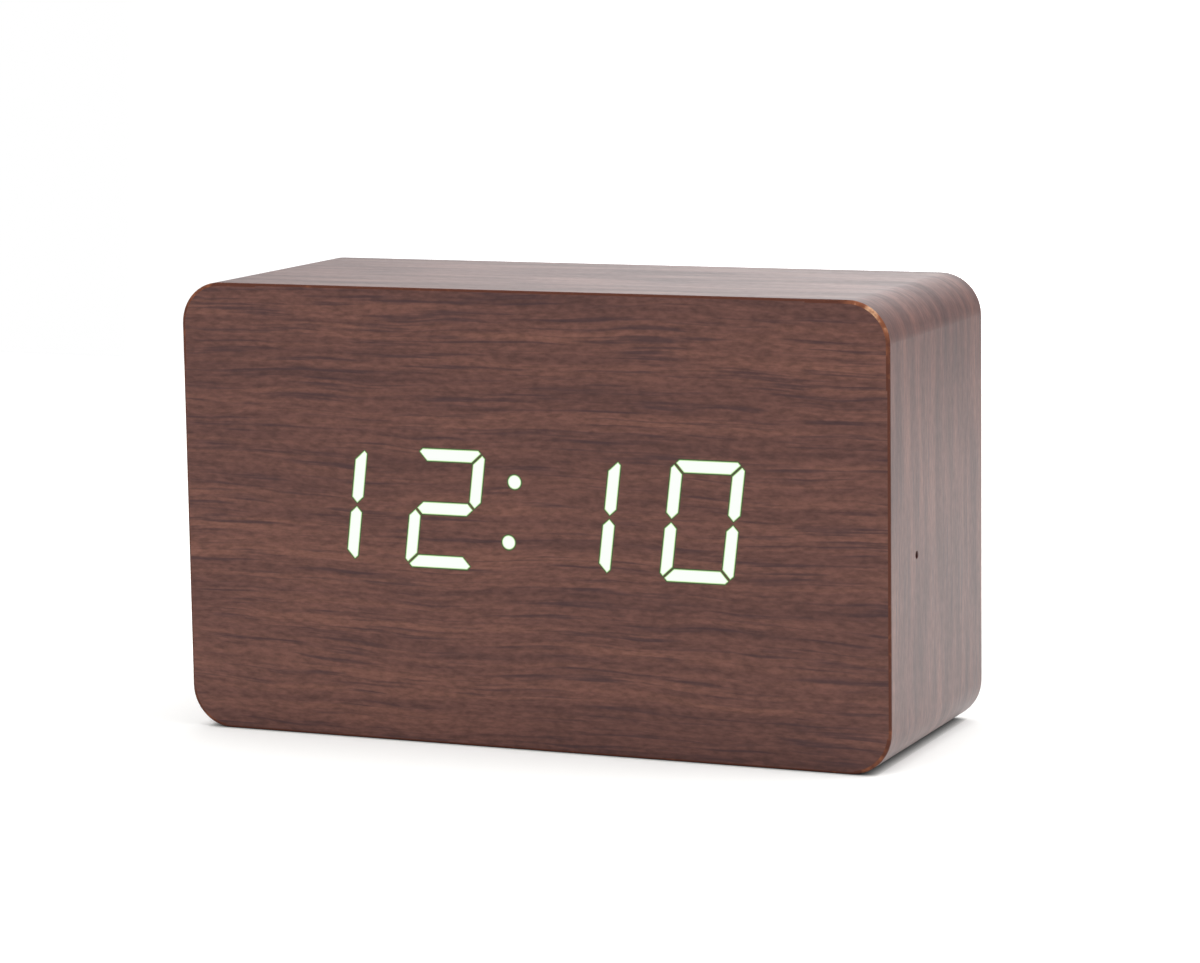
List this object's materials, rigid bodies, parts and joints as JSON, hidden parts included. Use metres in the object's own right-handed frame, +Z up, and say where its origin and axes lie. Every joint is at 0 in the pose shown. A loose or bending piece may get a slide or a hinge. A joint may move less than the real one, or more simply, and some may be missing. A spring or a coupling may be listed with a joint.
{
  "type": "wooden digital alarm clock",
  "caption": "Block-shaped digital alarm clock in walnut veneer, with LED digits that shine through the front, keys, battery door and power inlet at the back.",
  "frame": {"origin": "middle of the base, on the surface that the clock stands on", "axes": "+X to the right of the front, +Y from the front to the back, +Z up"},
  "size_m": [0.1, 0.038, 0.0605],
  "materials": {
    "fibreboard": "raw fibreboard, matt",
    "walnut_veneer": "satin walnut film",
    "lit_film": "veneer film lit from behind, glowing white",
    "black_film": "printed polyester film",
    "white_plastic": "moulded white plastic",
    "clear_resin": "milky cast resin",
    "led_body": "phosphor coated LED",
    "circuit_board": "green solder mask",
    "steel": "nickel plated",
    "black_steel": "black zinc",
    "black_plastic": "moulded black plastic, fine texture",
    "aluminium_can": "drawn can",
    "ceramic": "ceramic chip",
    "grey_insulation": "soft insulation",
    "red_insulation": "soft insulation, red and black",
    "cell_sleeve": null,
    "brass": "turned brass",
    "rubber": "soft rubber"
  },
  "bodies": {
    "case": {"case_body": "fibreboard", "back_board": "fibreboard", "wrap_veneer": "walnut_veneer", "base_veneer": "walnut_veneer", "front_veneer": "walnut_veneer", "back_veneer": "walnut_veneer", "lit_segments": "lit_film", "segment_mask": "black_film", "light_box": "white_plastic", "light_bars": "clear_resin", "segment_leds": "led_body", "display_board": "circuit_board", "key_board": "circuit_board", "display_screws": "steel", "key_screws": "steel", "back_screws": "black_steel", "microcontroller": "black_plastic", "led_driver": "black_plastic", "clock_crystal": "steel", "reservoir_capacitor": "aluminium_can", "chip_resistors": "black_plastic", "chip_capacitors": "ceramic", "coin_cell_holder": "black_plastic", "coin_cell": "steel", "display_socket": "white_plastic", "key_socket": "white_plastic", "ribbon_plugs": "white_plastic", "link_ribbon": "grey_insulation", "key_spacers": "white_plastic", "switch_bodies": "black_plastic", "buzzer": "black_plastic", "battery_bay": "black_plastic", "aaa_cells": "cell_sleeve", "battery_contacts": "steel", "battery_springs": "steel", "battery_leads": "red_insulation", "dc_jack": "black_plastic", "jack_pin": "brass", "jack_contact": "brass", "jack_washer": "steel", "jack_nut": "steel", "jack_leads": "red_insulation", "microphone": "aluminium_can", "microphone_boot": "rubber", "microphone_leads": "red_insulation"},
    "set_key": {"set_button": "black_plastic", "set_plunger": "black_plastic"},
    "up_key": {"up_button": "black_plastic", "up_plunger": "black_plastic"},
    "down_key": {"down_button": "black_plastic", "down_plunger": "black_plastic"},
    "door": {"battery_door": "black_plastic"}
  },
  "joints": [
    {"name": "set_press", "type": "slide", "parent": "case", "child": "set_key", "axis": [0, -1, 0], "range_m": [0, 0.0005], "stiffness_N_per_m": 600, "springref_m": -0.002},
    {"name": "up_press", "type": "slide", "parent": "case", "child": "up_key", "axis": [0, -1, 0], "range_m": [0, 0.0005], "stiffness_N_per_m": 600, "springref_m": -0.002},
    {"name": "down_press", "type": "slide", "parent": "case", "child": "down_key", "axis": [0, -1, 0], "range_m": [0, 0.0005], "stiffness_N_per_m": 600, "springref_m": -0.002},
    {"name": "door_swing", "type": "hinge", "parent": "case", "child": "door", "pos_m": [-0.00975, 0.0178, 0.013], "axis": [-1, 0, 0], "range_deg": [0, 85]}
  ]
}
